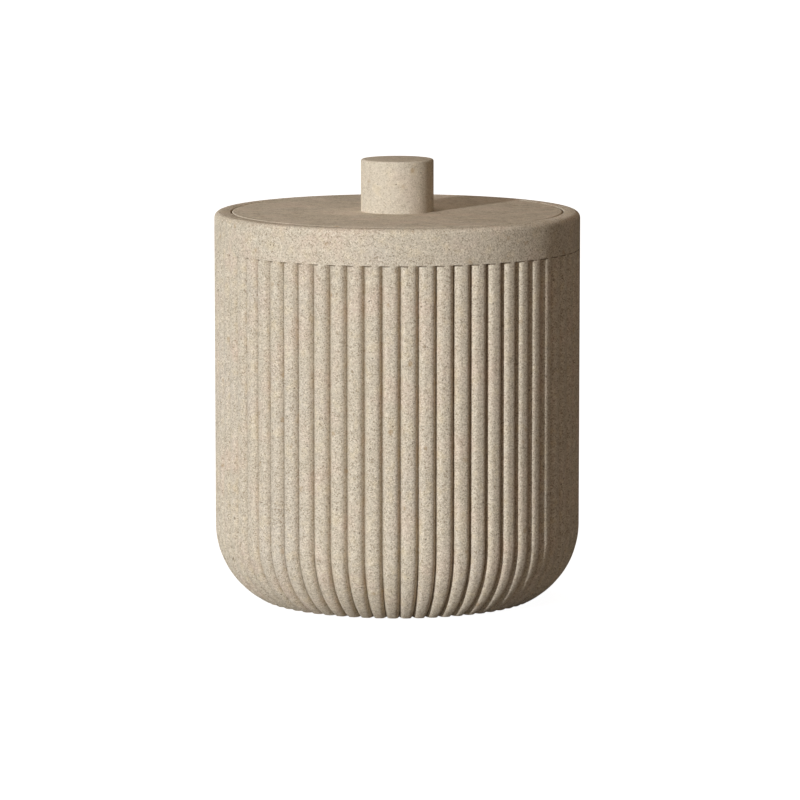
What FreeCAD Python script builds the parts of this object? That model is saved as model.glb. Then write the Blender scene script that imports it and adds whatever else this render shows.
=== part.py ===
import FreeCAD
import Part
import Sketcher
import math
import os

# Cotton pad holder: a ribbed cast-stone jar whose round lid drops into the rim and carries a screwed-on knob.
# Millimetres, +Z up, origin at the middle of the base pad's underside.

SIZES = [
    ("jar_diameter", 99.0, "across the rib crests and the rim band"),
    ("jar_height", 105.4, "from the jar's underside to the rim"),
    ("wall_thickness", 8.5, "from the side to the bore"),
    ("floor_thickness", 8.0, "from the underside to the cavity floor"),
    ("corner_radius", 22.6, "round between the side and the base"),
    ("base_inset", 12.1, "how far the base edge lies inside the side"),
    ("band_height", 9.8, "smooth band above the ribs"),
    ("rim_round", 1.6, "outer edge of the rim"),
    ("rim_width", 4.5, "from the side to the lid's seat"),
    ("edge_break", 0.4, "small rounds on the lid and on its seat"),
    ("rib_count", 64, "ribs round the jar"),
    ("rib_depth", 1.65, "from a rib's crest to the valley beside it"),
    ("rib_crest", 0.2, "land left between two valleys"),
    ("rib_shoulder", 3.0, "degrees, slope of a rib's flank at its crest"),
    ("pad_margin", 6.0, "bare ring of the base round the pad's recess"),
    ("pad_gap", 0.2, "between the pad and the side of its recess"),
    ("pad_recess", 1.0, "depth of the recess under the base"),
    ("pad_proud", 0.6, "how far the pad stands below the base"),
    ("lid_gap", 0.3, "between the lid's edge and its seat"),
    ("lid_drop", 0.2, "how far the lid lies below the rim"),
    ("lid_thickness", 6.0, "plate of the lid"),
    ("skirt_gap", 0.6, "between the lid's skirt and the bore"),
    ("skirt_wall", 4.5, "thickness of the skirt"),
    ("skirt_depth", 7.0, "how far the skirt reaches below the plate"),
    ("skirt_round", 0.8, "lower edges of the skirt"),
    ("seal_height", 2.6, "seal along the skirt"),
    ("seal_play", 0.1, "between the seal and its groove, all round"),
    ("seal_groove_depth", 1.6, "groove in the skirt"),
    ("seal_drop", 3.2, "from the plate's underside to the middle of the groove"),
    ("seal_gap", 0.15, "between the seal's lips and the bore"),
    ("knob_diameter", 19.7, "plain cylindrical knob"),
    ("knob_height", 14.2, "from the lid's top to the knob's top"),
    ("knob_round", 0.6, "top edge of the knob"),
    ("screw_diameter", 4.0, "M4 thread"),
    ("screw_clearance", 0.25, "round the screw in the lid and the washer"),
    ("thread_gap", 0.05, "between the screw and the insert's thread"),
    ("thread_engagement", 5.2, "length of screw inside the insert"),
    ("tip_chamfer", 0.5, "end of the screw"),
    ("head_diameter", 8.0, "pan head"),
    ("head_height", 2.4, "pan head"),
    ("head_round", 1.2, "outer edge of the pan head"),
    ("drive_span", 4.4, "cross recess, end to end"),
    ("drive_width", 1.0, "cross recess, one slot"),
    ("drive_depth", 1.5, "cross recess"),
    ("washer_diameter", 10.0, "flat washer"),
    ("washer_thickness", 0.8, "flat washer"),
    ("insert_diameter", 6.0, "threaded insert"),
    ("insert_length", 8.0, "threaded insert"),
    ("insert_press", 0.02, "between the insert and its hole in the knob"),
    ("insert_waist", 1.6, "groove round the middle of the insert"),
    ("insert_waist_depth", 0.4, "groove round the middle of the insert"),
    ("knurl_count", 18, "cuts round the insert"),
    ("knurl_depth", 0.25, "cuts round the insert"),
    ("tip_room", 2.5, "hole in the knob beyond the insert"),
]

# Cuts start this far outside the surface, and a valley's flanks only just outside it.
CUT_OVERRUN = 0.5
FLANK_OVERRUN = 0.02
# The valleys run round the corner through this many lofted steps, and this many degrees past the base edge.
CORNER_STEPS = 4
CORNER_OVERRUN = 10

JAR_R = "(Sizes.jar_diameter / 2)"
BORE_R = "(Sizes.jar_diameter / 2 - Sizes.wall_thickness)"
SEAT_R = "(Sizes.jar_diameter / 2 - Sizes.rim_width)"
BASE_R = "(Sizes.jar_diameter / 2 - Sizes.base_inset)"
RECESS_R = "(Sizes.jar_diameter / 2 - Sizes.base_inset - Sizes.pad_margin)"
LID_R = "(Sizes.jar_diameter / 2 - Sizes.rim_width - Sizes.lid_gap)"
SKIRT_R = "(Sizes.jar_diameter / 2 - Sizes.wall_thickness - Sizes.skirt_gap)"
SCREW_HOLE_R = "(Sizes.screw_diameter / 2 + Sizes.screw_clearance)"
CAVITY_ROUND = "(Sizes.corner_radius - Sizes.wall_thickness)"
CORNER_RISE = "sqrt(2 * Sizes.corner_radius * Sizes.base_inset - Sizes.base_inset ^ 2)"
LEDGE = "(Sizes.jar_height - Sizes.lid_drop - Sizes.lid_thickness)"
RIB_TOP = "(Sizes.jar_height - Sizes.band_height)"

doc = FreeCAD.newDocument("CottonPadHolder")


def make_sheet():
    sheet = doc.addObject("Spreadsheet::Sheet", "Sizes")
    for row, (alias, value, meaning) in enumerate(SIZES, start=1):
        sheet.set("A%d" % row, alias)
        sheet.set("B%d" % row, str(value))
        sheet.set("C%d" % row, meaning)
        sheet.setAlias("B%d" % row, alias)
    doc.recompute()
    return sheet


sheet = make_sheet()


def number(expression):
    value = sheet.evalExpression(expression)
    return float(getattr(value, "Value", value))


def origin_feature(body, role):
    return next(item for item in body.Origin.OriginFeatures if item.Role == role)


def arc_between(start, end, radius, turn):
    """The short arc from start to end; turn is 1 for anticlockwise travel and -1 for clockwise."""
    chord = end - start
    left = FreeCAD.Vector(-chord.y, chord.x, 0).normalize()
    reach = math.sqrt(max(radius ** 2 - chord.Length ** 2 / 4, 0))
    centre = (start + end) * 0.5 + left * (turn * reach)
    circle = Part.Circle(centre, FreeCAD.Vector(0, 0, 1), radius)
    first, last = (start, end) if turn > 0 else (end, start)
    angles = [math.atan2(point.y - centre.y, point.x - centre.x) for point in (first, last)]
    return Part.ArcOfCircle(circle, angles[0], angles[1])


def closed_sketch(body, name, plane, corners, arcs=None):
    """A closed outline through corners, each a pair of expressions.

    arcs gives the sides that are round, as the side's first corner: (radius expression, turn).
    """
    arcs = arcs or {}
    sketch = body.newObject("Sketcher::SketchObject", name)
    sketch.AttachmentSupport = [(origin_feature(body, plane), "")]
    sketch.MapMode = "FlatFace"
    points = [FreeCAD.Vector(number(across), number(up), 0) for across, up in corners]
    ends = []
    for side, start in enumerate(points):
        end = points[(side + 1) % len(points)]
        if side in arcs:
            radius, turn = arcs[side]
            sketch.addGeometry(arc_between(start, end, number(radius), turn))
            ends.append((1, 2) if turn > 0 else (2, 1))
        else:
            sketch.addGeometry(Part.LineSegment(start, end))
            ends.append((1, 2))
    for side in range(len(points)):
        following = (side + 1) % len(points)
        link = Sketcher.Constraint("Coincident", side, ends[side][1], following, ends[following][0])
        sketch.addConstraint(link)
    for side, (across, up) in enumerate(corners):
        corner = (side, ends[side][0])
        bind(sketch, "DistanceX", corner, across)
        bind(sketch, "DistanceY", corner, up)
    for side, (radius, turn) in arcs.items():
        index = sketch.addConstraint(Sketcher.Constraint("Radius", side, number(radius)))
        sketch.setExpression("Constraints[%d]" % index, radius)
    return sketch


def bind(sketch, kind, corner, expression):
    """Hold one coordinate of a corner to an expression; a zero puts it on the sketch's own axis."""
    if expression == "0":
        axis = -2 if kind == "DistanceX" else -1
        sketch.addConstraint(Sketcher.Constraint("PointOnObject", corner[0], corner[1], axis))
        return
    constraint = Sketcher.Constraint(kind, -1, 1, corner[0], corner[1], number(expression))
    index = sketch.addConstraint(constraint)
    sketch.setExpression("Constraints[%d]" % index, expression)


def turned_body(label, height, corners, arcs=None):
    """A body revolved about Z from a half section, standing at the given height."""
    body = doc.addObject("PartDesign::Body", label)
    body.Label = label
    body.setExpression("Placement.Base.z", height)
    sketch = closed_sketch(body, label + "_section", "XZ_Plane", corners, arcs)
    turned = body.newObject("PartDesign::Revolution", label + "_turned")
    turned.Profile = sketch
    turned.ReferenceAxis = (sketch, ["V_Axis"])
    turned.Angle = 360
    doc.recompute()
    return body


def cut(body, kind, name, sketch):
    """A subtractive feature on a sketch; the caller recomputes and checks what it removed."""
    feature = body.newObject(kind, name)
    feature.Profile = sketch
    feature.Refine = False
    return feature


def repeat_round(body, name, features, count):
    """Repeat cuts evenly about Z and check that every copy took material away."""
    single = sum(feature.BaseFeature.Shape.Volume - feature.Shape.Volume for feature in features)
    whole = features[0].BaseFeature.Shape.Volume
    pattern = body.newObject("PartDesign::PolarPattern", name)
    pattern.Originals = features
    pattern.Axis = (origin_feature(body, "Z_Axis"), [""])
    pattern.Angle = 360
    pattern.setExpression("Occurrences", count)
    pattern.Refine = False
    body.Tip = pattern
    doc.recompute()
    removed = whole - pattern.Shape.Volume
    copies = pattern.Occurrences
    if single <= 0 or abs(removed - copies * single) > 0.01 * copies * single:
        raise RuntimeError("%s removed %.1f, expected %.1f" % (name, removed, copies * single))


def valley_sketch(body, name, reach, angle):
    """Section of one valley: two convex rib flanks meeting in a cusp, open to the outside.

    reach is the distance from the sketch's origin to the rib crests, and angle is the corner's turn there:
    the section shrinks with the jar's girth, and the surface falls away less on either side of the valley.
    """
    scale = "(1 - 2 * Sizes.corner_radius * (1 - cos(%s)) / Sizes.jar_diameter)" % angle
    half = "((pi * Sizes.jar_diameter / Sizes.rib_count - Sizes.rib_crest) / 2 * %s)" % scale
    depth = "(Sizes.rib_depth * %s)" % scale
    fall = "(%s ^ 2 / %s * cos(%s) / Sizes.jar_diameter - %s)" % (half, scale, angle, FLANK_OVERRUN)
    rise = "(%s - %s)" % (depth, fall)
    chord = "sqrt(%s ^ 2 + %s ^ 2)" % (half, rise)
    flank = "(%s / 2 / sin(atan(%s / %s) - Sizes.rib_shoulder * 1 deg))" % (chord, rise, half)
    shoulder = "(%s - %s)" % (reach, fall)
    outside = "(%s + %s)" % (reach, CUT_OVERRUN)
    corners = [
        ("%s - %s" % (reach, depth), "0"),
        (shoulder, half),
        (outside, half),
        (outside, "-" + half),
        (shoulder, "-" + half),
    ]
    arcs = {0: (flank, 1), 4: (flank, 1)}
    return closed_sketch(body, name, "XY_Plane", corners, arcs)


def corner_angle(step):
    """Turn of the corner at one of the lofted sections; the last lies past the base edge."""
    return "((asin(%s / Sizes.corner_radius) + %d deg) * %d / %d)" % (
        CORNER_RISE, CORNER_OVERRUN, step, CORNER_STEPS)


def make_jar_body():
    corners = [
        ("0", "Sizes.pad_recess"),
        (RECESS_R, "Sizes.pad_recess"),
        (RECESS_R, "0"),
        (BASE_R, "0"),
        (JAR_R, CORNER_RISE),
        (JAR_R, "Sizes.jar_height - Sizes.rim_round"),
        (JAR_R + " - Sizes.rim_round", "Sizes.jar_height"),
        (SEAT_R + " + Sizes.edge_break", "Sizes.jar_height"),
        (SEAT_R, "Sizes.jar_height - Sizes.edge_break"),
        (SEAT_R, LEDGE),
        (BORE_R, LEDGE),
        (BORE_R, "Sizes.floor_thickness + " + CAVITY_ROUND),
        (BORE_R + " - " + CAVITY_ROUND, "Sizes.floor_thickness"),
        ("0", "Sizes.floor_thickness"),
    ]
    arcs = {
        3: ("Sizes.corner_radius", 1),
        5: ("Sizes.rim_round", 1),
        7: ("Sizes.edge_break", 1),
        11: (CAVITY_ROUND, -1),
    }
    body = turned_body("jar_body", "Sizes.pad_proud", corners, arcs)

    straight = valley_sketch(body, "valley_side", JAR_R, "0 deg")
    straight.setExpression("AttachmentOffset.Base.z", RIB_TOP)
    side_cut = cut(body, "PartDesign::Pocket", "valley_side_cut", straight)
    side_cut.setExpression("Length", RIB_TOP + " - " + CORNER_RISE)
    doc.recompute()

    sections = []
    for step in range(CORNER_STEPS + 1):
        angle = corner_angle(step)
        section = valley_sketch(body, "valley_corner_%d" % step, "Sizes.corner_radius", angle)
        section.setExpression("AttachmentOffset.Base.x", JAR_R + " - Sizes.corner_radius")
        section.setExpression("AttachmentOffset.Base.z", CORNER_RISE)
        for axis, share in zip("xyz", "010"):
            section.setExpression("AttachmentOffset.Rotation.Axis." + axis, share)
        section.setExpression("AttachmentOffset.Rotation.Angle", angle)
        sections.append(section)
    corner_cut = cut(body, "PartDesign::SubtractiveLoft", "valley_corner_cut", sections[0])
    corner_cut.Sections = sections[1:]
    doc.recompute()
    repeat_round(body, "valleys", [side_cut, corner_cut], "Sizes.rib_count")
    return body


def make_base_pad():
    radius = RECESS_R + " - Sizes.pad_gap"
    thickness = "Sizes.pad_recess + Sizes.pad_proud"
    corners = [
        ("0", "0"),
        (radius + " - Sizes.pad_proud / 2", "0"),
        (radius, "Sizes.pad_proud / 2"),
        (radius, thickness),
        ("0", thickness),
    ]
    return turned_body("base_pad", "0", corners, {1: ("Sizes.pad_proud / 2", 1)})


def make_lid_plate():
    inner = SKIRT_R + " - Sizes.skirt_wall"
    groove = SKIRT_R + " - Sizes.seal_groove_depth"
    groove_half = "(Sizes.seal_height / 2 + Sizes.seal_play)"
    plate = "Sizes.skirt_depth"
    top = "Sizes.skirt_depth + Sizes.lid_thickness"
    seal = "Sizes.skirt_depth - Sizes.seal_drop"
    corners = [
        (SCREW_HOLE_R, plate),
        (inner, plate),
        (inner, "Sizes.skirt_round"),
        (inner + " + Sizes.skirt_round", "0"),
        (SKIRT_R + " - Sizes.skirt_round", "0"),
        (SKIRT_R, "Sizes.skirt_round"),
        (SKIRT_R, seal + " - " + groove_half),
        (groove, seal + " - " + groove_half),
        (groove, seal + " + " + groove_half),
        (SKIRT_R, seal + " + " + groove_half),
        (SKIRT_R, plate),
        (LID_R, plate),
        (LID_R, top + " - Sizes.edge_break"),
        (LID_R + " - Sizes.edge_break", top),
        (SCREW_HOLE_R, top),
    ]
    arcs = {
        2: ("Sizes.skirt_round", 1),
        4: ("Sizes.skirt_round", 1),
        12: ("Sizes.edge_break", 1),
    }
    height = "Sizes.pad_proud + %s - Sizes.skirt_depth" % LEDGE
    return turned_body("lid_plate", height, corners, arcs)


def make_lid_seal():
    """A flat-backed ring with two round lips."""
    back = SKIRT_R + " - Sizes.seal_groove_depth + Sizes.seal_play"
    root = SKIRT_R
    lip = "(Sizes.skirt_gap - Sizes.seal_gap)"
    lip_round = "((Sizes.seal_height / 4) ^ 2 + %s ^ 2) / 2 / %s" % (lip, lip)
    corners = [
        (back, "0"),
        (root, "0"),
        (root, "Sizes.seal_height / 2"),
        (root, "Sizes.seal_height"),
        (back, "Sizes.seal_height"),
    ]
    arcs = {1: (lip_round, 1), 2: (lip_round, 1)}
    height = "Sizes.pad_proud + %s - Sizes.seal_drop - Sizes.seal_height / 2" % LEDGE
    return turned_body("lid_seal", height, corners, arcs)


def make_lid_knob():
    hole = "(Sizes.insert_diameter / 2 + Sizes.insert_press)"
    depth = "Sizes.insert_length + Sizes.tip_room"
    corners = [
        (hole, "0"),
        ("Sizes.knob_diameter / 2", "0"),
        ("Sizes.knob_diameter / 2", "Sizes.knob_height - Sizes.knob_round"),
        ("Sizes.knob_diameter / 2 - Sizes.knob_round", "Sizes.knob_height"),
        ("0", "Sizes.knob_height"),
        ("0", depth),
        (hole, depth),
    ]
    height = "Sizes.pad_proud + %s + Sizes.lid_thickness" % LEDGE
    return turned_body("lid_knob", height, corners, {2: ("Sizes.knob_round", 1)})


def make_knob_insert():
    bore = "(Sizes.screw_diameter / 2 + Sizes.thread_gap)"
    outer = "Sizes.insert_diameter / 2"
    waist = outer + " - Sizes.insert_waist_depth"
    waist_low = "(Sizes.insert_length - Sizes.insert_waist) / 2"
    waist_high = "(Sizes.insert_length + Sizes.insert_waist) / 2"
    corners = [
        (bore, "0"),
        (outer, "0"),
        (outer, waist_low),
        (waist, waist_low),
        (waist, waist_high),
        (outer, waist_high),
        (outer, "Sizes.insert_length"),
        (bore, "Sizes.insert_length"),
    ]
    height = "Sizes.pad_proud + %s + Sizes.lid_thickness" % LEDGE
    body = turned_body("knob_insert", height, corners)
    outside = "(%s + %s)" % (outer, CUT_OVERRUN)
    half = "(Sizes.knurl_depth + %s)" % CUT_OVERRUN
    knurl_corners = [
        (outer + " - Sizes.knurl_depth", "0"),
        (outside, half),
        (outside, "-" + half),
    ]
    knurl = closed_sketch(body, "knurl", "XY_Plane", knurl_corners)
    knurl_cut = cut(body, "PartDesign::Pocket", "knurl_cut", knurl)
    knurl_cut.Reversed = True
    knurl_cut.setExpression("Length", "Sizes.insert_length")
    doc.recompute()
    repeat_round(body, "knurls", [knurl_cut], "Sizes.knurl_count")
    return body


def make_screw_washer():
    corners = [
        (SCREW_HOLE_R, "0"),
        ("Sizes.washer_diameter / 2", "0"),
        ("Sizes.washer_diameter / 2", "Sizes.washer_thickness"),
        (SCREW_HOLE_R, "Sizes.washer_thickness"),
    ]
    height = "Sizes.pad_proud + %s - Sizes.washer_thickness" % LEDGE
    return turned_body("screw_washer", height, corners)


def make_knob_screw():
    """A pan-head screw, head down, with a cross recess in the head."""
    shank = "Sizes.screw_diameter / 2"
    head = "Sizes.head_diameter / 2"
    tip = "Sizes.head_height + Sizes.washer_thickness + Sizes.lid_thickness + Sizes.thread_engagement"
    corners = [
        ("0", "0"),
        (head + " - Sizes.head_round", "0"),
        (head, "Sizes.head_round"),
        (head, "Sizes.head_height"),
        (shank, "Sizes.head_height"),
        (shank, tip + " - Sizes.tip_chamfer"),
        (shank + " - Sizes.tip_chamfer", tip),
        ("0", tip),
    ]
    height = "Sizes.pad_proud + %s - Sizes.washer_thickness - Sizes.head_height" % LEDGE
    body = turned_body("knob_screw", height, corners, {1: ("Sizes.head_round", 1)})
    whole = body.Shape.Volume
    arm = "Sizes.drive_span / 2"
    half = "Sizes.drive_width / 2"
    cross = [
        (half, half), (half, arm), ("-" + half, arm), ("-" + half, half),
        ("-" + arm, half), ("-" + arm, "-" + half), ("-" + half, "-" + half), ("-" + half, "-" + arm),
        (half, "-" + arm), (half, "-" + half), (arm, "-" + half), (arm, half),
    ]
    drive = closed_sketch(body, "drive", "XY_Plane", cross)
    drive_cut = cut(body, "PartDesign::Pocket", "drive_cut", drive)
    drive_cut.Reversed = True
    drive_cut.setExpression("Length", "Sizes.drive_depth")
    doc.recompute()
    if not drive_cut.Shape.Volume < whole:
        raise RuntimeError("the screw's drive recess cut nothing")
    return body


def check(bodies):
    for item in doc.Objects:
        if "Invalid" in item.State or "Error" in item.State:
            raise RuntimeError("%s failed: %s" % (item.Label, item.State))
    for body in bodies:
        if body.Shape.isNull() or not body.Shape.isValid() or len(body.Shape.Solids) != 1:
            raise RuntimeError("%s is not one valid solid" % body.Label)


def main():
    bodies = [
        make_jar_body(),
        make_base_pad(),
        make_lid_plate(),
        make_lid_seal(),
        make_lid_knob(),
        make_knob_insert(),
        make_screw_washer(),
        make_knob_screw(),
    ]
    doc.recompute()
    check(bodies)
    os.makedirs("parts", exist_ok=True)
    for body in bodies:
        body.Shape.exportStep("parts/%s.step" % body.Label)
        box = body.Shape.BoundBox
        print("%-13s %9.1f mm3  z %.2f to %.2f" % (body.Label, body.Shape.Volume, box.ZMin, box.ZMax))


main()
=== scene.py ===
"""Cotton pad holder: the ribbed stone jar, its lid and the fittings under the lid, on a white stage."""
import math

import bmesh
import bpy
from bpy.props import FloatProperty, FloatVectorProperty, IntProperty, PointerProperty
from mathutils import Matrix, Vector


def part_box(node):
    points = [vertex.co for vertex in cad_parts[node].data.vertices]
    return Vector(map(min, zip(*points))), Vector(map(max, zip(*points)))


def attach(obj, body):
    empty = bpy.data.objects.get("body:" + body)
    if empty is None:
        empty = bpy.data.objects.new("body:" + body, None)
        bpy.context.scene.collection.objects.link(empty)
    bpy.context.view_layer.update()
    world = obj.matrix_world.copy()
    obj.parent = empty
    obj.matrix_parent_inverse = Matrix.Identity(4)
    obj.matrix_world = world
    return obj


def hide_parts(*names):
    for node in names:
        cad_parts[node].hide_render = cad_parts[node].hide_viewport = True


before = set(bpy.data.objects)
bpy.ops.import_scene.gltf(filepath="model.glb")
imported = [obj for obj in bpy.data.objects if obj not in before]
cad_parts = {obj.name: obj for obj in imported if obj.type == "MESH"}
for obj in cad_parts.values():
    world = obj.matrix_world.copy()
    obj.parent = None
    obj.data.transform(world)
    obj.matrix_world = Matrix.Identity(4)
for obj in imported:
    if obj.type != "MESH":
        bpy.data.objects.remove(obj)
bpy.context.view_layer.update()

bl_info = {
    "name": "Cotton Pad Holder",
    "version": (1, 0, 0),
    "blender": (4, 5, 0),
    "location": "View3D > Sidebar > Pad Holder",
    "description": "Builds a ribbed stone jar with a lift-off lid, its fittings and a white stage",
    "category": "Object",
}

MM = 0.001
BAKE_MAP = "OFBake"
GROOVE = "groove"
MERGE = 1e-7
FLOOR_GAP = 0.05 * MM
WHITE = (1.0, 1.0, 1.0)
CREASE = math.radians(28)

# Points along an edge and round a piece, and rows up it
ROUND_STEPS = 6
LIP_STEPS = 8
THREAD_ROWS = 12
KNURL_ROWS = 12
KNURL_COLUMNS = 8
SCREW_COLUMNS = 48
WASHER_COLUMNS = 96
PAD_COLUMNS = 128
KNOB_COLUMNS = 192
LID_COLUMNS = 256

# How much lower the rim and higher the lid are finished, so that the lid's edge shows
RIM_DROP = 0.15 * MM
LID_RISE = 0.1 * MM

# Rounds of the sum that finds where the foot of a rib ends
FOOT_ROUNDS = 12

# How the points of a rib gather in its valleys, and how the painted shadow under the band ends and fades
VALLEY_CROWDING = 1.6
BAND_SHADOW_FADE = 1.6
BAND_SHADOW_END = 0.55
BAND_SHADOW_BLUR = 0.2
BAND_SHADOW_MARK = 2

# How steep the thread's flanks are, and how much of its crest is flat
THREAD_SLOPE = 2.6
THREAD_FLAT = 0.25


# Sizes and colours

def radius_of(node):
    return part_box(node)[1].x


def foot_of(node):
    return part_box(node)[0].z


def top_of(node):
    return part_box(node)[1].z


def length(name, description, default):
    return FloatProperty(
        name=name, description=description, default=default, min=0.0, unit="LENGTH", precision=5)


def angle(name, description, degrees):
    default = math.radians(degrees)
    return FloatProperty(name=name, description=description, default=default, subtype="ANGLE")


def amount(name, description, default):
    return FloatProperty(name=name, description=description, default=default, min=0.0)


def tint(name, description, colour):
    return FloatVectorProperty(
        name=name, description=description, default=colour, size=3, min=0.0, max=1.0, subtype="COLOR")


class JarSizes(bpy.types.PropertyGroup):
    radius: length("Radius", "Side of the jar, at the rib crests and the rim band", radius_of("jar_body"))
    foot: length("Underside", "Height of the jar's flat underside", foot_of("jar_body"))
    rim: length("Rim", "Height of the rim, a hair below the lid's top", top_of("jar_body") - RIM_DROP)
    corner: length("Corner", "Round between the side and the base", 22.6 * MM)
    base_inset: length("Base inset", "How far the base edge lies inside the side", 12.1 * MM)
    band: length("Band", "Smooth band above the ribs", 9.65 * MM)
    rim_round: length("Rim round", "Outer edge of the rim", 1.6 * MM)
    edge_break: length("Edge break", "Small round on the seat's edge", 0.25 * MM)
    seat: length("Seat", "Radius of the lid's seat", 45.0 * MM)
    ledge: length("Ledge", "Height of the ledge that carries the lid", 99.8 * MM)
    bore: length("Bore", "Radius of the cavity", 41.0 * MM)
    floor: length("Floor", "Height of the cavity's floor", 8.6 * MM)
    recess: length("Recess", "Radius of the recess for the base pad", 31.4 * MM)
    recess_roof: length("Recess roof", "Height of the recess's roof", 1.6 * MM)
    ribs: IntProperty(name="Ribs", description="Ribs round the jar", default=64, min=3)
    rib_depth: length("Rib depth", "From a rib's crest to the valley beside it", 1.65 * MM)
    rib_fullness: amount("Rib fullness", "2 is a round rib, more has a flatter face", 3.6)
    valley_round: amount("Valley round", "Share of a rib's flank that rounds into the valley", 0.07)
    # The dark line under the band is a painted shadow of the band's lower edge; this is its height.
    band_shadow: length("Dirt", "Height of the dark line under the band", 0.25 * MM)


class LidSizes(bpy.types.PropertyGroup):
    radius: length("Radius", "Edge of the lid's plate", radius_of("lid_plate"))
    top: length("Top", "Height of the lid's top", top_of("lid_plate") + LID_RISE)
    underside: length("Underside", "Height of the plate's underside", 99.8 * MM)
    skirt_foot: length("Skirt foot", "Height of the skirt's lower edge", foot_of("lid_plate"))
    skirt: length("Skirt", "Radius of the skirt's outside", 40.4 * MM)
    skirt_inside: length("Skirt inside", "Radius of the skirt's inside", 35.9 * MM)
    skirt_round: length("Skirt round", "Lower edges of the skirt", 0.8 * MM)
    groove: length("Groove", "Radius of the seal's groove", 38.8 * MM)
    groove_low: length("Groove low", "Height of the groove's lower side", 95.2 * MM)
    groove_high: length("Groove high", "Height of the groove's upper side", 98.0 * MM)
    hole: length("Hole", "Radius of the hole for the screw", 2.25 * MM)
    edge_break: length("Edge break", "Small round on the lid's edge", 0.4 * MM)
    seal_back: length("Seal back", "Radius of the seal's flat back", 38.9 * MM)
    seal_lip: length("Seal lip", "Radius of the seal's lips", radius_of("lid_seal"))
    seal_shoulder: length("Seal shoulder", "How far the seal's edges lie inside the skirt", 0.2 * MM)
    knob_radius: length("Knob radius", "Side of the knob", radius_of("lid_knob"))
    knob_top: length("Knob top", "Height of the knob's top", top_of("lid_knob"))
    knob_round: length("Knob round", "Top edge of the knob", 0.6 * MM)
    knob_hole: length("Knob hole", "Radius of the hole for the insert", 3.02 * MM)
    knob_hole_top: length("Knob hole top", "Height of the hole's end", 116.3 * MM)


class FittingSizes(bpy.types.PropertyGroup):
    thread: length("Thread", "Radius over the screw's thread", 2.0 * MM)
    pitch: length("Pitch", "Rise of the thread in one turn", 0.7 * MM)
    thread_depth: length("Thread depth", "From the thread's crest to its root", 0.38 * MM)
    thread_start: length("Thread start", "Plain shank between the head and the thread", 0.6 * MM)
    thread_point: length("Thread point", "Chamfer at the end of the thread", 0.5 * MM)
    head: length("Head", "Radius of the screw's head", radius_of("knob_screw"))
    head_round: length("Head round", "Outer edge of the screw's head", 1.2 * MM)
    head_top: length("Head seat", "Height of the head's bearing face", foot_of("screw_washer"))
    drive_span: length("Drive span", "Cross recess, end to end", 4.4 * MM)
    drive_width: length("Drive width", "Cross recess, one slot", 1.0 * MM)
    drive_depth: length("Drive depth", "Cross recess", 1.5 * MM)
    washer_hole: length("Washer hole", "Radius of the washer's hole", 2.25 * MM)
    washer_round: length("Washer round", "Lower outside edge of the washer", 0.25 * MM)
    washer_break: length("Washer break", "Other edges of the washer", 0.1 * MM)
    insert_bore: length("Insert bore", "Radius of the insert's thread", 2.05 * MM)
    insert_lead: length("Insert lead", "Chamfer at the insert's ends", 0.4 * MM)
    knurls: IntProperty(name="Knurls", description="Knurls round the insert", default=18, min=3)
    knurl_depth: length("Knurl depth", "Cuts round the insert", 0.25 * MM)
    knurl_rise: length("Knurl rise", "Height in which a knurl leans over to the next", 1.2 * MM)
    waist: length("Waist", "Groove round the middle of the insert", 1.6 * MM)
    waist_depth: length("Waist depth", "Depth of that groove", 0.4 * MM)
    pad_round: length("Pad round", "Edges of the base pad", 0.3 * MM)


class StoneSettings(bpy.types.PropertyGroup):
    grain: length("Grain", "Width of the packed grains", 0.28 * MM)
    fine: length("Fine", "Width of the finest unevenness", 0.3 * MM)
    lumps: length("Lumps", "Width of the soft lumps", 1.6 * MM)
    blotches: length("Blotches", "Width of the yellowish blotches", 3.2 * MM)
    clouds: length("Clouds", "Width of the pinkish clouds", 9.0 * MM)
    drift: length("Drift", "Width of the greyish clouds", 23.0 * MM)
    specks: length("Specks", "Distance between the rusty specks", 4.5 * MM)
    pits: length("Pits", "Distance between the small pits", 1.5 * MM)
    rust: amount("Rust", "How strong the rusty specks are", 0.55)
    stain: amount("Stain", "How strong the rusty stains along the valleys are", 0.25)
    # The brown dust in the valleys is painted shade, a dark line along each valley's bottom.
    dust: amount("Dust", "How strong the brown dust in the valleys is", 0.52)
    # The dark line under the band is a painted shadow of the band's lower edge; this is its strength.
    band_shadow: amount("Dirt", "How strong the dark line under the band is", 0.4)
    # The dark inside of the small pits is painted shade.
    painted_pit_shade: amount("Pit shade", "How dark the small pits are", 0.7)


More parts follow.
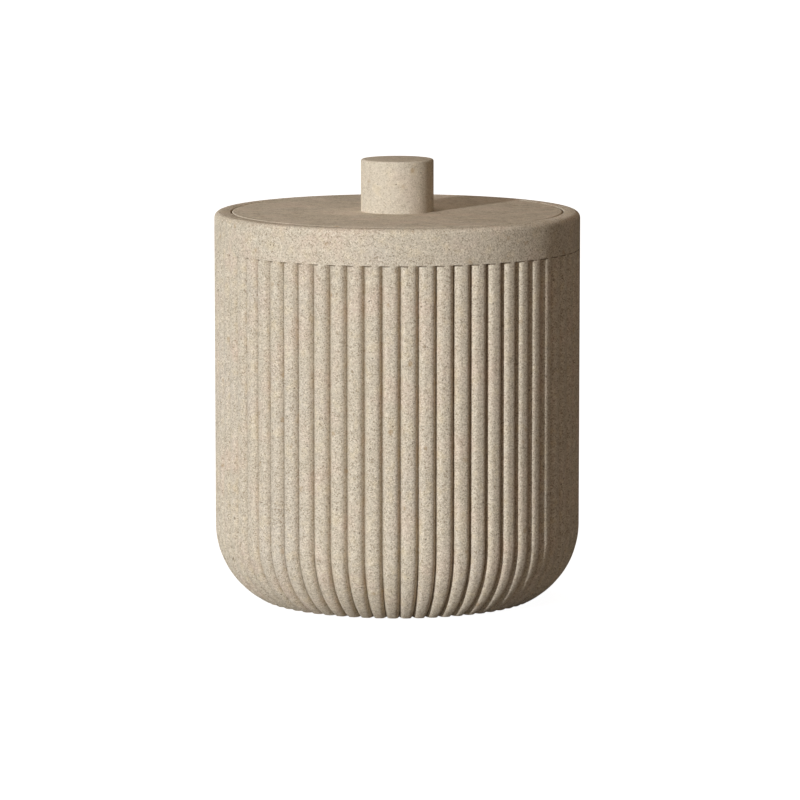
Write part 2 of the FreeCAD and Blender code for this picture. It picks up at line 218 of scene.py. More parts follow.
class HolderColours(bpy.types.PropertyGroup):
    sand: tint("Sand", "The stone's mean colour", (0.64, 0.565, 0.455))
    pale_grain: tint("Pale grain", "The stone's lightest grains", (0.83, 0.745, 0.625))
    dark_grain: tint("Dark grain", "The stone's darkest grains", (0.37, 0.29, 0.205))
    ochre: tint("Ochre", "Rusty specks in the stone", (0.45, 0.31, 0.17))
    rose: tint("Rose", "Pinkish clouds in the stone", (0.66, 0.53, 0.425))
    ash: tint("Ash", "Greyish clouds in the stone", (0.625, 0.56, 0.475))
    honey: tint("Honey", "Yellowish blotches in the stone", (0.66, 0.56, 0.405))
    # Colour of the painted shade in the valleys and of the painted shadow under the band.
    groove: tint("Groove", "Brown dust in the valleys between the ribs", (0.2, 0.158, 0.112))
    # Painted shade inside the small pits.
    shaded_pit: tint("Pit", "Inside of the stone's small pits", (0.13, 0.095, 0.06))
    foam: tint("Foam", "Base pad", (0.05, 0.048, 0.045))
    foam_wall: tint("Foam wall", "Walls of the pad's cells", (0.085, 0.082, 0.077))
    foam_dust: tint("Foam dust", "Dust on the pad", (0.2, 0.19, 0.17))
    silicone: tint("Silicone", "Seal round the lid's skirt", (0.62, 0.6, 0.55))
    silicone_cloud: tint("Silicone cloud", "Milky clouds in the seal", (0.7, 0.69, 0.65))
    brass: tint("Brass", "Threaded insert", (0.78, 0.57, 0.25))
    brass_dull: tint("Dull brass", "Dulled patches on the insert", (0.6, 0.42, 0.2))
    zinc: tint("Zinc", "Screw and washer", (0.62, 0.62, 0.61))
    zinc_dull: tint("Dull zinc", "Dulled patches on the screw and washer", (0.5, 0.49, 0.44))


class StageSettings(bpy.types.PropertyGroup):
    camera_distance: length("Camera distance", "From the jar's axis to the lens", 1.344)
    camera_height: length("Camera height", "From the floor to the lens", 0.239)
    camera_turn: angle("Camera turn", "How far the camera stands left of the front", 0.95)
    camera_pitch: angle("Camera pitch", "How far the camera looks down", 7.83)
    camera_yaw: angle("Camera yaw", "How far the camera looks right of the jar's axis", 0.0315)
    lens: amount("Lens", "Focal length in millimetres on a 36 mm frame", 224.4)
    key_turn: angle("Key turn", "How far the key light stands left of the front", 36.0)
    key_height: angle("Key height", "The key light's angle above the floor", 12.7)
    key_size: angle("Key size", "How wide the key light looks from the jar", 3.0)
    key: amount("Key", "Strength of the key light", 3.0)
    key_tint: tint("Key tint", "Colour of the key light", (0.955, 0.985, 1.0))
    rim_turn: angle("Rim turn", "How far the rim light stands left of the front", 145.0)
    rim_height: angle("Rim height", "The rim light's angle above the floor", 4.5)
    rim_size: angle("Rim size", "How wide the rim light looks from the jar", 12.0)
    rim: amount("Rim light", "Strength of the light from behind on the left", 1.75)
    fill_turn: angle("Fill turn", "How far the fill light stands right of the front", 16.0)
    fill_height: angle("Fill height", "The fill light's angle above the floor", 8.0)
    fill_size: angle("Fill size", "How wide the fill light looks from the jar", 30.0)
    fill: amount("Fill light", "Strength of the soft light from the right", 0.27)
    top_size: angle("Top size", "How wide the top light looks from the jar", 60.0)
    top: amount("Top light", "Strength of the soft light from above", 0.69)
    soft_tint: tint("Soft tint", "Colour of the fill and top lights", (1.0, 0.81, 0.65))
    around: tint("Around", "Colour and level of the light from all round", (0.025, 0.021, 0.0175))
    floor: tint("Floor", "Colour of the floor in the light that it throws back", (0.38, 0.36, 0.335))
    floor_glow: amount("Floor glow", "How white the floor looks in its own right", 0.975)


class HolderSettings(bpy.types.PropertyGroup):
    jar: PointerProperty(type=JarSizes)
    lid: PointerProperty(type=LidSizes)
    fittings: PointerProperty(type=FittingSizes)
    stone: PointerProperty(type=StoneSettings)
    colours: PointerProperty(type=HolderColours)
    stage: PointerProperty(type=StageSettings)


# Materials

class Feed:
    """An output socket that takes part in Python sums; each sum adds a Math node."""

    def __init__(self, socket):
        self.socket = socket

    def maths(self, operation, first, second):
        sums = Finish(self.socket.id_data)
        return sums.node("ShaderNodeMath", {"operation": operation}, {0: first, 1: second})["Value"]

    def __add__(self, other):
        return self.maths("ADD", self, other)

    def __radd__(self, other):
        return self.maths("ADD", other, self)

    def __sub__(self, other):
        return self.maths("SUBTRACT", self, other)

    def __rsub__(self, other):
        return self.maths("SUBTRACT", other, self)

    def __mul__(self, other):
        return self.maths("MULTIPLY", self, other)

    def __rmul__(self, other):
        return self.maths("MULTIPLY", other, self)


class Finish:
    """The nodes of one material, world or lamp."""

    def __init__(self, tree):
        self.tree = tree

    def node(self, kind, settings=None, sockets=None):
        """Adds a node with these settings and these values or links. Returns its outputs by name."""
        made = self.tree.nodes.new(kind)
        for name, value in (settings or {}).items():
            setattr(made, name, value)
        for name, value in (sockets or {}).items():
            if isinstance(name, int):
                socket = made.inputs[name]
            else:
                socket = next(s for s in made.inputs if s.enabled and s.name == name)
            if isinstance(value, Feed):
                self.tree.links.new(value.socket, socket)
            elif socket.type == "RGBA":
                socket.default_value = (*value, 1.0)
            else:
                socket.default_value = value
        return {s.name: Feed(s) for s in made.outputs if s.enabled}

    def place(self):
        return self.node("ShaderNodeTexCoord")["Object"]

    def noise(self, place, size, detail=2.0, roughness=0.55):
        """Clouds about as wide as size, from 0 to 1."""
        sockets = {"Vector": place, "Scale": 1 / size, "Detail": detail, "Roughness": roughness}
        return self.node("ShaderNodeTexNoise", {}, sockets)["Fac"]

    def cells(self, place, size):
        """Grains about as wide as size: their distances and colours."""
        return self.node("ShaderNodeTexVoronoi", {}, {"Vector": place, "Scale": 1 / size})

    def shares(self, colour):
        """Three numbers from 0 to 1 out of a grain's colour."""
        return self.node("ShaderNodeSeparateColor", {}, {"Color": colour})

    def ramp(self, value, low, high):
        """A smooth step from 0, where value is low, to 1, where it is high."""
        settings = {"interpolation_type": "SMOOTHSTEP", "clamp": True}
        sockets = {"Value": value, "From Min": low, "From Max": high}
        return self.node("ShaderNodeMapRange", settings, sockets)["Result"]

    def mix(self, share, first, second):
        """The first colour, with a share of the second in it."""
        settings = {"data_type": "RGBA", "clamp_factor": True}
        return self.node("ShaderNodeMix", settings, {"Factor": share, "A": first, "B": second})["Result"]

    def bump(self, height, depth):
        """A normal from a height of 0 to 1 that stands for depth in metres."""
        sockets = {"Height": height, "Strength": 1.0, "Distance": depth}
        return self.node("ShaderNodeBump", {}, sockets)["Normal"]

    def surface(self, sockets):
        shader = self.node("ShaderNodeBsdfPrincipled", {}, sockets)["BSDF"]
        self.node("ShaderNodeOutputMaterial", {}, {"Surface": shader})


def new_finish(name):
    material = bpy.data.materials.new(name)
    material.use_nodes = True
    material.node_tree.nodes.clear()
    return material, Finish(material.node_tree)


def cast_stone(holder, name, grainy, mottled, bumpy):
    """Sand-coloured stone: grains, clouds, specks, and pits with painted shade inside, painted shade in the
    valleys between the ribs and a painted shadow under the band.

    The grain and its colours grow with grainy and the soft patches of tone with mottled. The unevenness of
    the surface is bumpy, in metres.
    """
    colours = holder.colours
    look = holder.stone
    material, stone = new_finish(name)
    place = stone.place()
    grain = stone.cells(place, look.grain)
    grain_shares = stone.shares(grain["Color"])
    fine = stone.noise(place, look.fine)
    lumps = stone.noise(place, look.lumps, detail=3.0)
    blotches = stone.noise(place, look.blotches, detail=3.0)
    clouds = stone.noise(place, look.clouds, detail=3.0)
    drift = stone.noise(place, look.drift)

    # Patches of colour, and the pale and dark grains over them
    tone = 0.5 + grainy * (grain_shares["Red"] + fine - 1) + 0.45 * (lumps - 0.5)
    tone = tone + mottled * (blotches + clouds - 1)
    body = stone.mix(grainy * stone.ramp(clouds, 0.45, 0.7), colours.sand, colours.rose)
    body = stone.mix(grainy * stone.ramp(drift, 0.5, 0.75), body, colours.ash)
    body = stone.mix(grainy * stone.ramp(blotches, 0.5, 0.72), body, colours.honey)
    body = stone.mix(stone.ramp(tone, 0.5, 1.1), body, colours.pale_grain)
    body = stone.mix(stone.ramp(tone, 0.5, -0.1), body, colours.dark_grain)

    # Stains along the valleys, painted shade in them, and a painted shadow under the band
    near_valley = stone.node("ShaderNodeAttribute", {"attribute_name": GROOVE})["Fac"]
    stain = stone.ramp(near_valley, 0.6, 1.0) * stone.ramp(blotches + 0.6 * (clouds - 0.5), 0.5, 0.62)
    # Painted shade: a dark line along the bottom of each valley.
    dust = stone.ramp(near_valley + 0.2 * (lumps - 0.5), 0.86, 0.97)
    # Painted shadow of the band's lower edge, where the marks go above 1.
    band_shadow = stone.ramp(near_valley, 1.2, 1.8)
    body = stone.mix(look.stain * stain, body, colours.ochre)
    body = stone.mix(look.dust * dust + look.band_shadow * band_shadow, body, colours.groove)

    # Rusty specks, and small pits with painted shade inside, each in a few of its cells
    specks = stone.cells(place, look.specks)
    speck = stone.ramp(specks["Distance"] + 0.35 * (lumps - 0.5), 0.22, 0.05)
    speck = speck * stone.ramp(stone.shares(specks["Color"])["Green"], 0.55, 0.8)
    body = stone.mix(look.rust * speck, body, colours.ochre)
    pits = stone.cells(place, look.pits)
    shaded_pit = stone.ramp(pits["Distance"] + 0.3 * (fine - 0.5), 0.2, 0.08)
    shaded_pit = shaded_pit * stone.ramp(stone.shares(pits["Color"])["Blue"], 0.82, 0.9)
    # Painted shade inside the pits.
    body = stone.mix(look.painted_pit_shade * shaded_pit, body, colours.shaded_pit)

    height = 1.3 * fine + 0.4 * lumps + 0.5 * (1 - grain["Distance"]) - 0.5 * shaded_pit
    stone.surface({
        "Base Color": body,
        "Roughness": 0.78 + 0.16 * fine,
        "Diffuse Roughness": 0.0,
        "Specular IOR Level": 0.0,
        "Normal": stone.bump(height, bumpy),
    })
    return material


def closed_foam(colours):
    """Dark closed-cell foam with a fine cell pattern and a little dust."""
    material, foam = new_finish("Closed-cell foam")
    place = foam.place()
    cells = foam.cells(place, 0.35 * MM)
    dust = foam.noise(place, 7.0 * MM, detail=4.0)
    colour = foam.mix(foam.ramp(cells["Distance"], 0.2, 0.7), colours.foam, colours.foam_wall)
    colour = foam.mix(0.35 * foam.ramp(dust, 0.5, 0.75), colour, colours.foam_dust)
    foam.surface({
        "Base Color": colour,
        "Roughness": 0.82 + 0.12 * dust,
        "Specular IOR Level": 0.25,
        "Normal": foam.bump(cells["Distance"], 0.06 * MM),
    })
    return material


def milky_silicone(colours):
    """Satin silicone with a faint moulding texture."""
    material, rubber = new_finish("Milky silicone")
    place = rubber.place()
    cloud = rubber.noise(place, 5.0 * MM, detail=3.0)
    texture = rubber.noise(place, 0.25 * MM)
    rubber.surface({
        "Base Color": rubber.mix(cloud, colours.silicone, colours.silicone_cloud),
        "Roughness": 0.38 + 0.2 * cloud,
        "Specular IOR Level": 0.45,
        "Normal": rubber.bump(texture, 0.006 * MM),
    })
    return material


def turned_metal(name, colour, dull, rough):
    """Metal from the lathe or the press: fine rings round the axis and a cloudy, slightly dulled face."""
    material, metal = new_finish(name)
    place = metal.place()
    parts = metal.node("ShaderNodeSeparateXYZ", {}, {"Vector": place})
    rings = metal.node("ShaderNodeCombineXYZ", {}, {"Z": parts["Z"]})["Vector"]
    marks = metal.noise(rings, 0.06 * MM, detail=3.0, roughness=0.7)
    cloud = metal.noise(place, 1.8 * MM, detail=3.0)
    metal.surface({
        "Base Color": metal.mix(metal.ramp(cloud, 0.4, 0.8), colour, dull),
        "Metallic": 1.0,
        "Roughness": rough + 0.2 * cloud,
        "Normal": metal.bump(marks, 0.008 * MM),
    })
    return material


# Shapes

def rounded(corners):
    """The points of an outline whose corners, each (across, up, radius), are rounded off."""
    points = []
    for before, here, after in zip(corners[-1:] + corners[:-1], corners, corners[1:] + corners[:1]):
        corner = Vector(here[:2])
        radius = here[2]
        if radius == 0:
            points.append(corner)
            continue
        back = (Vector(before[:2]) - corner).normalized()
        onward = (Vector(after[:2]) - corner).normalized()
        half = back.angle(onward) / 2
        centre = corner + (back + onward).normalized() * (radius / math.sin(half))
        start = corner + back * (radius / math.tan(half)) - centre
        end = corner + onward * (radius / math.tan(half)) - centre
        sweep = math.copysign(math.pi - 2 * half, start.x * end.y - start.y * end.x)
        for step in range(ROUND_STEPS + 1):
            points.append(centre + Matrix.Rotation(sweep * step / ROUND_STEPS, 2) @ start)
    return points


def spaced(start, end, count):
    """Points from start up to end, end left out."""
    return [Vector(start).lerp(Vector(end), step / count) for step in range(count)]


def even_angles(count):
    return [math.tau * step / count for step in range(count)]


def skin(name, angles, rows, closed):
    """A mesh through rows of (across, up) points, one for each angle; a row on the axis is one point."""
    mesh_maker = bmesh.new()
    bake_map = mesh_maker.loops.layers.uv.new(BAKE_MAP)
    first = angles[0]
    corners = []
    for row in rows:
        if max(across for across, up in row) < MERGE:
            corners.append([mesh_maker.verts.new((0.0, 0.0, row[0][1]))] * len(angles))
        else:
            corners.append([
                mesh_maker.verts.new((across * math.cos(turn), across * math.sin(turn), up))
                for turn, (across, up) in zip(angles, row)])
    pairs = list(zip(range(len(rows) - 1), range(1, len(rows))))
    if closed:
        pairs.append((len(rows) - 1, 0))
    steps = [
        max((Vector(b) - Vector(a)).length for a, b in zip(rows[low], rows[high])) for low, high in pairs]
    total = sum(steps)
    done = 0.0
    for (low, high), step in zip(pairs, steps):
        for column in range(len(angles)):
            beside = (column + 1) % len(angles)
            left = (angles[column] - first) / math.tau
            right = (angles[beside] - first) / math.tau if beside else 1.0
            ring = [
                (corners[low][column], left, done),
                (corners[low][beside], right, done),
                (corners[high][beside], right, done + step),
                (corners[high][column], left, done + step),
            ]
            if ring[0][0] is ring[1][0]:
                ring = [(ring[0][0], (left + right) / 2, done), ring[2], ring[3]]
            elif ring[2][0] is ring[3][0]:
                ring = [ring[0], ring[1], (ring[2][0], (left + right) / 2, done + step)]
            face = mesh_maker.faces.new([corner[0] for corner in ring])
            for loop, (vertex, across, along) in zip(face.loops, ring):
                loop[bake_map].uv = (across, along / total)
        done += step
    bmesh.ops.remove_doubles(mesh_maker, verts=mesh_maker.verts, dist=MERGE)
    bmesh.ops.recalc_face_normals(mesh_maker, faces=mesh_maker.faces)
    mesh = bpy.data.meshes.new(name)
    mesh_maker.to_mesh(mesh)
    mesh_maker.free()
    return mesh


def turned(name, outline, columns, shape=None):
    """A piece turned round the axis; shape may change a point, given as (across, up, angle)."""
    angles = even_angles(columns)
    rows = []
    for across, up in outline:
        if shape is None or across < MERGE:
            rows.append([(across, up)] * columns)
        else:
            rows.append([shape(across, up, turn) for turn in angles])
    closed = min(across for across, up in outline) > MERGE
    return skin(name, angles, rows, closed)


def dressed(mesh, material, body, node):
    """Puts a mesh into the scene in place of a CAD node."""
    mesh.shade_smooth()
    mesh.set_sharp_from_angle(angle=CREASE)
    mesh.materials.append(material)
    piece = bpy.data.objects.new(mesh.name, mesh)
    bpy.context.scene.collection.objects.link(piece)
    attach(piece, body)
    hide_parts(node)
    return piece


def cut_out(mesh, cutter_mesh):
    """The mesh with the cutter's shape taken out of it."""
    scene = bpy.context.scene
    piece = bpy.data.objects.new("cut_piece", mesh)
    cutter = bpy.data.objects.new("cutter", cutter_mesh)
    for item in (piece, cutter):
        scene.collection.objects.link(item)
    cut = piece.modifiers.new("cut", "BOOLEAN")
    cut.operation = "DIFFERENCE"
    cut.solver = "EXACT"
    cut.object = cutter
    depsgraph = bpy.context.evaluated_depsgraph_get()
    result = bpy.data.meshes.new_from_object(piece.evaluated_get(depsgraph), depsgraph=depsgraph)
    for item in (piece, cutter):
        bpy.data.objects.remove(item)
    name = mesh.name
    for spare in (mesh, cutter_mesh):
        bpy.data.meshes.remove(spare)
    result.name = name
    return result


# Pieces

def rib_columns(sizes, flank_steps):
    """(angle, depth) for each column of points round the ribs, starting in the front valley."""
    pitch = math.tau / sizes.ribs
    bend = 1 - sizes.valley_round
    steepest = sizes.rib_fullness * bend ** (sizes.rib_fullness - 1)

    def fall(share):
        """How far a rib has fallen at a share of the way from its crest to the valley."""
        past = share - bend
        if past <= 0:
            return share ** sizes.rib_fullness
        return bend ** sizes.rib_fullness + steepest * (past - past ** 2 / (2 * sizes.valley_round))

    flank = []
    for step in range(flank_steps + 1):
        aside = (step / flank_steps) ** VALLEY_CROWDING
        flank.append((aside * pitch / 2, sizes.rib_depth * fall(1 - aside) / fall(1)))
    columns = []
    for rib in range(sizes.ribs):
        valley = rib * pitch - math.pi / 2
        columns += [(valley + turn, depth) for turn, depth in flank]
        columns += [(valley + pitch - turn, depth) for turn, depth in reversed(flank[1:-1])]
    return columns


def foot_rise(sizes):
    """How far the rounded foot reaches up from the underside."""
    return math.sqrt(2 * sizes.corner * sizes.base_inset - sizes.base_inset ** 2)


def foot_point(sizes, share, depth):
    """A point of the rounded foot: share 0 is at the side and 1 at the base, depth is the rib's there."""
    rise = foot_rise(sizes)

    def reach(turn):
        girth = sizes.radius - sizes.corner * (1 - math.cos(turn))
        return sizes.corner - depth * girth / sizes.radius

    base_turn = math.asin(rise / sizes.corner)
    for _ in range(FOOT_ROUNDS):
        base_turn = math.asin(rise / reach(base_turn))
    turn = base_turn * share
    across = sizes.radius - sizes.corner + reach(turn) * math.cos(turn)
    return across, sizes.foot + rise - reach(turn) * math.sin(turn)


def mark_grooves(mesh, sizes):
    """Notes how near each point of the ribs lies to a valley, 0 to 1, and the painted shadow under the
    band, with a mark above 1.
    """
    marks = mesh.attributes.new(GROOVE, "FLOAT", "POINT")
    for point, mark in zip(mesh.vertices, marks.data):
        across = Vector((point.co.x, point.co.y, 0.0))
        below_band = sizes.rim - sizes.band - point.co.z
        if below_band < -MERGE or across.length > sizes.radius - MERGE or point.normal.dot(across) < 0:
            continue
        past_valley = (math.atan2(across.y, across.x) / math.tau + 0.25) * sizes.ribs % 1.0
        mark.value = abs(past_valley - 0.5) * 2
        # Painted shadow of the band's lower edge, on the part of each rib just past its valley.
        if below_band < sizes.band_shadow + MERGE:
            band_shadow = min(max((BAND_SHADOW_END - past_valley) / BAND_SHADOW_BLUR, 0.0), 1.0)
            mark.value += band_shadow * (BAND_SHADOW_MARK - mark.value)


class HOLDER_OT_jar_body(bpy.types.Operator):
    """Builds the ribbed jar"""
    bl_idname = "holder.jar_body"
    bl_label = "Ribbed Jar"

    flank_steps: IntProperty(name="Flank steps", description="Points down a rib's flank", default=10, min=2)
    foot_steps: IntProperty(name="Foot steps", description="Rows round the foot", default=20, min=4)
    side_steps: IntProperty(name="Side steps", description="Rows up the ribs", default=12, min=1)

    def execute(self, context):
        holder = context.scene.pad_holder
        sizes = holder.jar
        columns = rib_columns(sizes, self.flank_steps)
        angles = [turn for turn, depth in columns]
        rib_top = sizes.rim - sizes.band
        side_foot = sizes.foot + foot_rise(sizes)
        cavity_round = sizes.corner - (sizes.radius - sizes.bore)
        inside = rounded([
            (sizes.radius, rib_top, 0),
            (sizes.radius, sizes.rim, sizes.rim_round),
            (sizes.seat, sizes.rim, sizes.edge_break),
            (sizes.seat, sizes.ledge, 0),
            (sizes.bore, sizes.ledge, sizes.edge_break / 2),
            (sizes.bore, sizes.floor, cavity_round),
            (0.0, sizes.floor, 0),
        ])
        under = [
            Vector((0.0, sizes.recess_roof)),
            Vector((sizes.recess, sizes.recess_roof)),
            Vector((sizes.recess, sizes.foot)),
        ]
        rows = [[tuple(point)] * len(columns) for point in under]
        for step in range(self.foot_steps):
            share = 1 - step / self.foot_steps
            rows.append([foot_point(sizes, share, depth) for turn, depth in columns])
        # Rows under the band carry the painted shadow's mark and its fade.
        clean_top = rib_top - BAND_SHADOW_FADE * sizes.band_shadow
        heights = [
            side_foot + (clean_top - side_foot) * step / self.side_steps
            for step in range(self.side_steps + 1)]
        for up in (*heights, rib_top - sizes.band_shadow, rib_top):
            rows.append([(sizes.radius - depth, up) for turn, depth in columns])
        rows += [[tuple(point)] * len(columns) for point in inside]
        mesh = skin("ribbed_jar", angles, rows, closed=False)
        mark_grooves(mesh, sizes)
        stone = cast_stone(holder, "Cast stone", grainy=0.85, mottled=0.2, bumpy=0.1 * MM)
        dressed(mesh, stone, "jar", "jar_body")
        return {"FINISHED"}


class HOLDER_OT_base_pad(bpy.types.Operator):
    """Builds the foam pad under the jar"""
    bl_idname = "holder.base_pad"
    bl_label = "Base Pad"

    def execute(self, context):
        holder = context.scene.pad_holder
        low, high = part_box("base_pad")
        soft = holder.fittings.pad_round
        outline = rounded([
            (0.0, low.z, 0),
            (high.x, low.z, soft),
            (high.x, high.z, soft),
            (0.0, high.z, 0),
        ])
        mesh = turned("foam_pad", outline, PAD_COLUMNS)
        pad = dressed(mesh, closed_foam(holder.colours), "jar", "base_pad")
        return {"FINISHED"}


class HOLDER_OT_lid_plate(bpy.types.Operator):
    """Builds the lid's plate with its skirt"""
    bl_idname = "holder.lid_plate"
    bl_label = "Lid Plate"

    def execute(self, context):
        holder = context.scene.pad_holder
        sizes = holder.lid
        outline = rounded([
            (sizes.hole, sizes.underside, 0),
            (sizes.skirt_inside, sizes.underside, sizes.skirt_round),
            (sizes.skirt_inside, sizes.skirt_foot, sizes.skirt_round),
            (sizes.skirt, sizes.skirt_foot, sizes.skirt_round),
            (sizes.skirt, sizes.groove_low, 0),
            (sizes.groove, sizes.groove_low, 0),
            (sizes.groove, sizes.groove_high, 0),
            (sizes.skirt, sizes.groove_high, 0),
            (sizes.skirt, sizes.underside, 0),
            (sizes.radius, sizes.underside, sizes.edge_break / 2),
            (sizes.radius, sizes.top, sizes.edge_break),
            (sizes.hole, sizes.top, 0),
        ])
        stone = cast_stone(holder, "Rubbed stone", grainy=0.6, mottled=0.7, bumpy=0.02 * MM)
        dressed(turned("lid_disc", outline, LID_COLUMNS), stone, "lid", "lid_plate")
        return {"FINISHED"}


class HOLDER_OT_lid_seal(bpy.types.Operator):
    """Builds the silicone ring round the lid's skirt"""
    bl_idname = "holder.lid_seal"
    bl_label = "Lid Seal"

    def execute(self, context):
        holder = context.scene.pad_holder
        sizes = holder.lid
        low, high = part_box("lid_seal")
        quarter = (high.z - low.z) / 4
        lip = sizes.seal_lip - sizes.skirt
        lip_radius = (quarter ** 2 + lip ** 2) / (2 * lip)
        spread = math.asin(quarter / lip_radius)
        shoulder = sizes.skirt - sizes.seal_shoulder
        outline = [Vector((sizes.seal_back, low.z)), Vector((shoulder, low.z))]
        for middle in (low.z + quarter, high.z - quarter):
            for step in range(LIP_STEPS + 1):
                turn = spread * (2 * step / LIP_STEPS - 1)
                across = sizes.seal_lip - lip_radius * (1 - math.cos(turn))
                outline.append(Vector((across, middle + lip_radius * math.sin(turn))))
        outline += [Vector((shoulder, high.z)), Vector((sizes.seal_back, high.z))]
        ring = turned("seal_ring", outline, LID_COLUMNS)
        dressed(ring, milky_silicone(holder.colours), "seal", "lid_seal")
        return {"FINISHED"}


class HOLDER_OT_lid_knob(bpy.types.Operator):
    """Builds the knob on the lid"""
    bl_idname = "holder.lid_knob"
    bl_label = "Lid Knob"

    def execute(self, context):
        holder = context.scene.pad_holder
        sizes = holder.lid
        outline = rounded([
            (0.0, sizes.knob_hole_top, 0),
            (sizes.knob_hole, sizes.knob_hole_top, 0),
            (sizes.knob_hole, sizes.top, 0),
            (sizes.knob_radius, sizes.top, 0),
            (sizes.knob_radius, sizes.knob_top, sizes.knob_round),
            (0.0, sizes.knob_top, 0),
        ])
        stone = cast_stone(holder, "Knob stone", grainy=0.55, mottled=0.15, bumpy=0.05 * MM)
        dressed(turned("knob", outline, KNOB_COLUMNS), stone, "lid", "lid_knob")
        return {"FINISHED"}


class HOLDER_OT_fittings(bpy.types.Operator):
    """Builds the screw, washer and threaded insert that hold the knob"""
    bl_idname = "holder.fittings"
    bl_label = "Knob Fittings"

    def execute(self, context):
        holder = context.scene.pad_holder
        sizes = holder.fittings
        colours = holder.colours
        zinc = turned_metal("Zinc-plated steel", colours.zinc, colours.zinc_dull, rough=0.24)
        brass = turned_metal("Brass", colours.brass, colours.brass_dull, rough=0.22)
        self.screw(sizes, zinc)
        self.washer(sizes, zinc)
        self.insert(sizes, brass)
        return {"FINISHED"}

    def screw(self, sizes, zinc):
        low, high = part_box("knob_screw")
        under_head = sizes.head_top + sizes.thread_start
        thread_end = high.z - sizes.thread_point

        def threaded(across, up, turn):
            if abs(across - sizes.thread) > MERGE or not under_head < up < thread_end + MERGE:
                return across, up
            phase = ((up - under_head) / sizes.pitch - turn / math.tau) % 1.0
            flank = min(max(abs(phase - 0.5) * THREAD_SLOPE - THREAD_FLAT, 0.0), 1.0)
            fade = min((up - under_head) / sizes.pitch, 1.0)
            return across - sizes.thread_depth * flank * fade, up

        rows = round((thread_end - under_head) / sizes.pitch * THREAD_ROWS)
        head = rounded([
            (0.0, low.z, 0),
            (sizes.head, low.z, sizes.head_round),
            (sizes.head, sizes.head_top, 0),
            (sizes.thread, sizes.head_top, 0),
        ])
        outline = head + spaced((sizes.thread, under_head), (sizes.thread, thread_end), rows)
        outline += [
            Vector((sizes.thread, thread_end)),
            Vector((sizes.thread - sizes.thread_point, high.z)),
            Vector((0.0, high.z)),
        ]
        mesh = turned("pan_screw", outline, SCREW_COLUMNS, threaded)
        cutter = bmesh.new()
        for span in ((sizes.drive_span, sizes.drive_width), (sizes.drive_width, sizes.drive_span)):
            box = bmesh.ops.create_cube(cutter, size=1.0)["verts"]
            bmesh.ops.scale(cutter, vec=(*span, sizes.drive_depth * 2), verts=box)
            bmesh.ops.translate(cutter, vec=(0.0, 0.0, low.z), verts=box)
        cross = bpy.data.meshes.new("cross")
        cutter.to_mesh(cross)
        cutter.free()
        dressed(cut_out(mesh, cross), zinc, "lid", "knob_screw")

    def washer(self, sizes, zinc):
        low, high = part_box("screw_washer")
        outline = rounded([
            (sizes.washer_hole, low.z, sizes.washer_break),
            (high.x, low.z, sizes.washer_round),
            (high.x, high.z, sizes.washer_break),
            (sizes.washer_hole, high.z, sizes.washer_break),
        ])
        dressed(turned("washer", outline, WASHER_COLUMNS), zinc, "lid", "screw_washer")

    def insert(self, sizes, brass):
        low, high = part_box("knob_insert")
        middle = (low.z + high.z) / 2
        lead = sizes.insert_lead

        def knurled(across, up, turn):
            if across < high.x - MERGE or not low.z + lead < up < high.z - lead:
                return across, up
            lean = abs(up - middle) / sizes.knurl_rise
            ridge = abs(((turn / math.tau * sizes.knurls + lean) % 1.0) - 0.5) * 2
            return across - sizes.knurl_depth * ridge, up

        waist_low, waist_high = middle - sizes.waist / 2, middle + sizes.waist / 2
        outline = [Vector((sizes.insert_bore, low.z)), Vector((high.x - lead, low.z))]
        outline += spaced((high.x, low.z + lead), (high.x, waist_low), KNURL_ROWS)
        outline += [Vector((high.x, waist_low)), Vector((high.x - sizes.waist_depth, waist_low))]
        outline += [Vector((high.x - sizes.waist_depth, waist_high)), Vector((high.x, waist_high))]
        outline += spaced((high.x, waist_high), (high.x, high.z - lead), KNURL_ROWS)[1:]
        outline += [
            Vector((high.x, high.z - lead)),
            Vector((high.x - lead, high.z)),
            Vector((sizes.insert_bore, high.z)),
        ]
        mesh = turned("brass_insert", outline, sizes.knurls * KNURL_COLUMNS, knurled)
        dressed(mesh, brass, "lid", "knob_insert")


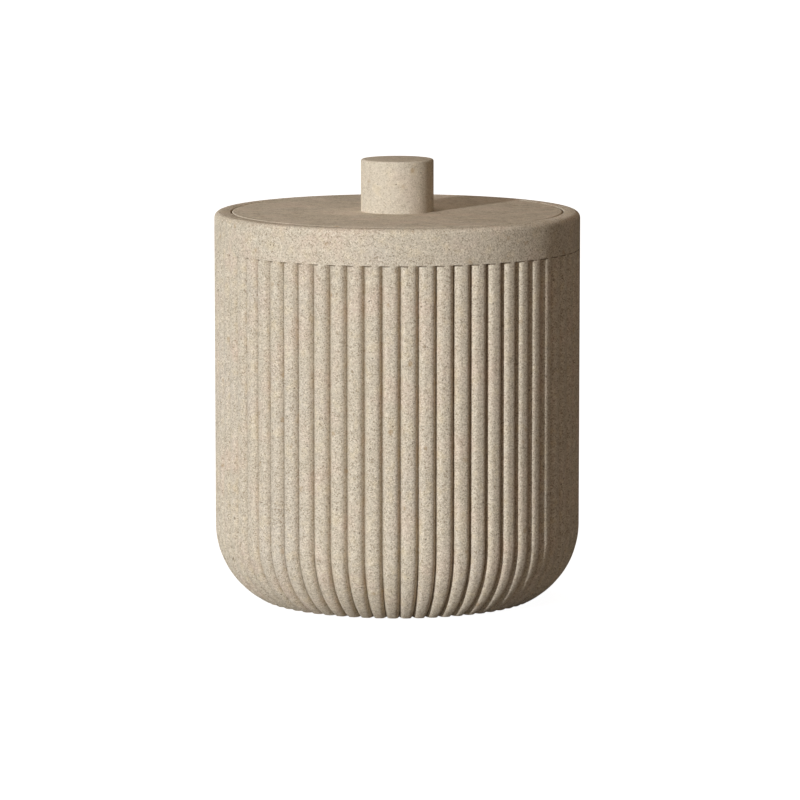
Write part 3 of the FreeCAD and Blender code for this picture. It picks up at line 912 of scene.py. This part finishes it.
class HOLDER_OT_stage(bpy.types.Operator):
    """Sets up the floor, the light and the camera"""
    bl_idname = "holder.stage"
    bl_label = "Stage"

    def execute(self, context):
        settings = context.scene.pad_holder.stage
        context.scene.view_settings.view_transform = "Standard"
        self.camera(context, settings)
        self.lamps(context, settings)
        self.air(context, settings)
        self.floor(context, settings)
        return {"FINISHED"}

    def camera(self, context, settings):
        data = bpy.data.cameras.new("camera")
        data.sensor_width = 36.0
        data.lens = settings.lens
        data.clip_start = 0.05
        data.clip_end = 50.0
        camera = bpy.data.objects.new("camera", data)
        camera.location = (
            -settings.camera_distance * math.sin(settings.camera_turn),
            -settings.camera_distance * math.cos(settings.camera_turn),
            settings.camera_height,
        )
        camera.rotation_euler = (
            math.pi / 2 - settings.camera_pitch,
            0.0,
            -settings.camera_turn - settings.camera_yaw,
        )
        context.scene.collection.objects.link(camera)
        context.scene.camera = camera

    def lamps(self, context, settings):
        key_turn, rim_turn = -settings.key_turn, -settings.rim_turn
        for name, colour, turn, height in (
            ("key", settings.key_tint, key_turn, settings.key_height),
            ("rim", settings.key_tint, rim_turn, settings.rim_height),
            ("fill", settings.soft_tint, settings.fill_turn, settings.fill_height),
            ("top", settings.soft_tint, 0.0, math.pi / 2),
        ):
            data = bpy.data.lights.new(name, "SUN")
            data.energy = getattr(settings, name)
            data.angle = getattr(settings, name + "_size")
            data.color = colour
            lamp = bpy.data.objects.new(name, data)
            lamp.rotation_euler = (math.pi / 2 - height, 0.0, turn)
            context.scene.collection.objects.link(lamp)

    def air(self, context, settings):
        world = bpy.data.worlds.new("air")
        context.scene.world = world
        world.use_nodes = True
        world.node_tree.nodes.clear()
        air = Finish(world.node_tree)
        seen = self.seen(air)
        around, white = (
            air.node("ShaderNodeBackground", {}, {"Color": colour, "Strength": 1.0})["Background"]
            for colour in (settings.around, WHITE))
        both = air.node("ShaderNodeMixShader", {}, {0: seen, 1: around, 2: white})["Shader"]
        air.node("ShaderNodeOutputWorld", {}, {"Surface": both})

    def seen(self, nodes):
        """1 for what the lens sees straight, in a gloss or through glass, 0 for light on the pieces."""
        rays = nodes.node("ShaderNodeLightPath")
        straight = rays["Is Camera Ray"] + rays["Is Glossy Ray"]
        return straight + rays["Is Transmission Ray"]

    def floor(self, context, settings):
        material, floor = new_finish("White floor")
        seen = self.seen(floor)
        plain = floor.node("ShaderNodeBsdfDiffuse", {}, {"Color": settings.floor})["BSDF"]
        glow = floor.node(
            "ShaderNodeEmission", {}, {"Color": WHITE, "Strength": settings.floor_glow})["Emission"]
        bright = floor.node("ShaderNodeAddShader", {}, {0: plain, 1: glow})["Shader"]
        both = floor.node("ShaderNodeMixShader", {}, {0: seen, 1: plain, 2: bright})["Shader"]
        floor.node("ShaderNodeOutputMaterial", {}, {"Surface": both})
        maker = bmesh.new()
        bmesh.ops.create_circle(maker, cap_ends=True, segments=64, radius=8.0)
        mesh = bpy.data.meshes.new("floor")
        maker.to_mesh(mesh)
        maker.free()
        mesh.materials.append(material)
        ground = bpy.data.objects.new("floor", mesh)
        ground.location.z = -FLOOR_GAP
        context.scene.collection.objects.link(ground)


class HOLDER_PT_pieces(bpy.types.Panel):
    bl_idname = "HOLDER_PT_pieces"
    bl_label = "Cotton Pad Holder"
    bl_space_type = "VIEW_3D"
    bl_region_type = "UI"
    bl_category = "Pad Holder"

    def draw(self, context):
        for operator in OPERATORS:
            self.layout.operator(operator.bl_idname)
        for group in ("jar", "lid", "fittings", "stone", "colours", "stage"):
            settings = getattr(context.scene.pad_holder, group)
            column = self.layout.column(heading=group.title())
            for name in settings.bl_rna.properties.keys():
                if name not in ("rna_type", "name"):
                    column.prop(settings, name)


GROUPS = (
    JarSizes,
    LidSizes,
    FittingSizes,
    StoneSettings,
    HolderColours,
    StageSettings,
    HolderSettings,
)
OPERATORS = (
    HOLDER_OT_jar_body,
    HOLDER_OT_base_pad,
    HOLDER_OT_lid_plate,
    HOLDER_OT_lid_seal,
    HOLDER_OT_lid_knob,
    HOLDER_OT_fittings,
    HOLDER_OT_stage,
)


def register():
    for kind in (*GROUPS, *OPERATORS, HOLDER_PT_pieces):
        bpy.utils.register_class(kind)
    bpy.types.Scene.pad_holder = PointerProperty(type=HolderSettings)


def unregister():
    del bpy.types.Scene.pad_holder
    for kind in reversed((*GROUPS, *OPERATORS, HOLDER_PT_pieces)):
        bpy.utils.unregister_class(kind)


def main():
    register()
    bpy.ops.holder.jar_body()
    bpy.ops.holder.base_pad()
    bpy.ops.holder.lid_plate()
    bpy.ops.holder.lid_seal()
    bpy.ops.holder.lid_knob()
    bpy.ops.holder.fittings()
    bpy.ops.holder.stage()


if __name__ == "__main__":
    main()
